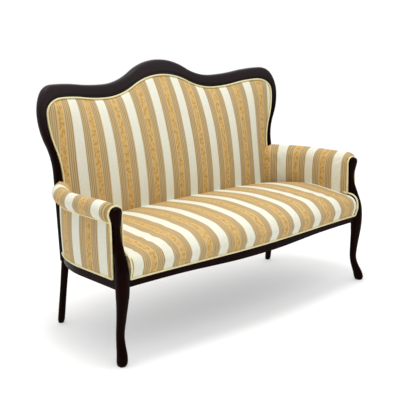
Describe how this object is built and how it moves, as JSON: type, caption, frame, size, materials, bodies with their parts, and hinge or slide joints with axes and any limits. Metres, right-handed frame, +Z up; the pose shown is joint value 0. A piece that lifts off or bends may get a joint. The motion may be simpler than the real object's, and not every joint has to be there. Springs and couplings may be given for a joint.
{
  "type": "settee",
  "caption": "Show-wood settee with a serpentine crest rail, cabriole front posts, scrolled arms and tight striped damask upholstery edged with cord",
  "frame": {"origin": "on the floor, midway between the arms and midway between the seat's front and the crest's rear", "axes": "+X to the sitter's left when seated facing the front, +Y to the back, +Z up"},
  "size_m": [1.3856, 0.654, 1.006],
  "materials": {
    "dark_polished_wood": "polished dark mahogany stain",
    "beech_frame": "sawn beech",
    "steel_screws": "plain steel",
    "jute_webbing": "woven jute",
    "hessian": "loose plain weave",
    "upholstery_foam": "cut foam",
    "striped_damask": "striped damask in cream, tan and gold",
    "cord_welt": "bias covered cord",
    "dust_cloth": "thin black cambric"
  },
  "bodies": {
    "root": {"left_front_post": "dark_polished_wood", "right_front_post": "dark_polished_wood", "crest_rail": "dark_polished_wood", "left_back_post": "dark_polished_wood", "right_back_post": "dark_polished_wood", "front_seat_rail": "dark_polished_wood", "left_seat_rail": "dark_polished_wood", "right_seat_rail": "dark_polished_wood", "back_seat_rail": "beech_frame", "left_arm_rail": "beech_frame", "right_arm_rail": "beech_frame", "left_arm_tack_rail": "beech_frame", "right_arm_tack_rail": "beech_frame", "lower_back_rail": "beech_frame", "left_back_upright": "beech_frame", "right_back_upright": "beech_frame", "left_seat_brace": "beech_frame", "right_seat_brace": "beech_frame", "left_front_corner_block": "beech_frame", "right_front_corner_block": "beech_frame", "left_rear_corner_block": "beech_frame", "right_rear_corner_block": "beech_frame", "loose_tenons": "beech_frame", "corner_block_screws": "steel_screws", "seat_webbing_lengthwise": "jute_webbing", "seat_webbing_crosswise": "jute_webbing", "back_webbing": "jute_webbing", "seat_hessian": "hessian", "back_hessian": "hessian", "left_arm_hessian": "hessian", "right_arm_hessian": "hessian", "seat_foam": "upholstery_foam", "back_foam": "upholstery_foam", "left_arm_foam": "upholstery_foam", "right_arm_foam": "upholstery_foam", "seat_cover": "striped_damask", "back_cover": "striped_damask", "outside_back_cover": "striped_damask", "left_arm_cover": "striped_damask", "right_arm_cover": "striped_damask", "left_outside_arm_cover": "striped_damask", "right_outside_arm_cover": "striped_damask", "seat_welt": "cord_welt", "back_welt": "cord_welt", "left_arm_roll_welt": "cord_welt", "right_arm_roll_welt": "cord_welt", "left_arm_front_welt": "cord_welt", "right_arm_front_welt": "cord_welt", "left_side_rail_welt": "cord_welt", "right_side_rail_welt": "cord_welt", "dust_cover": "dust_cloth"}
  },
  "joints": []
}
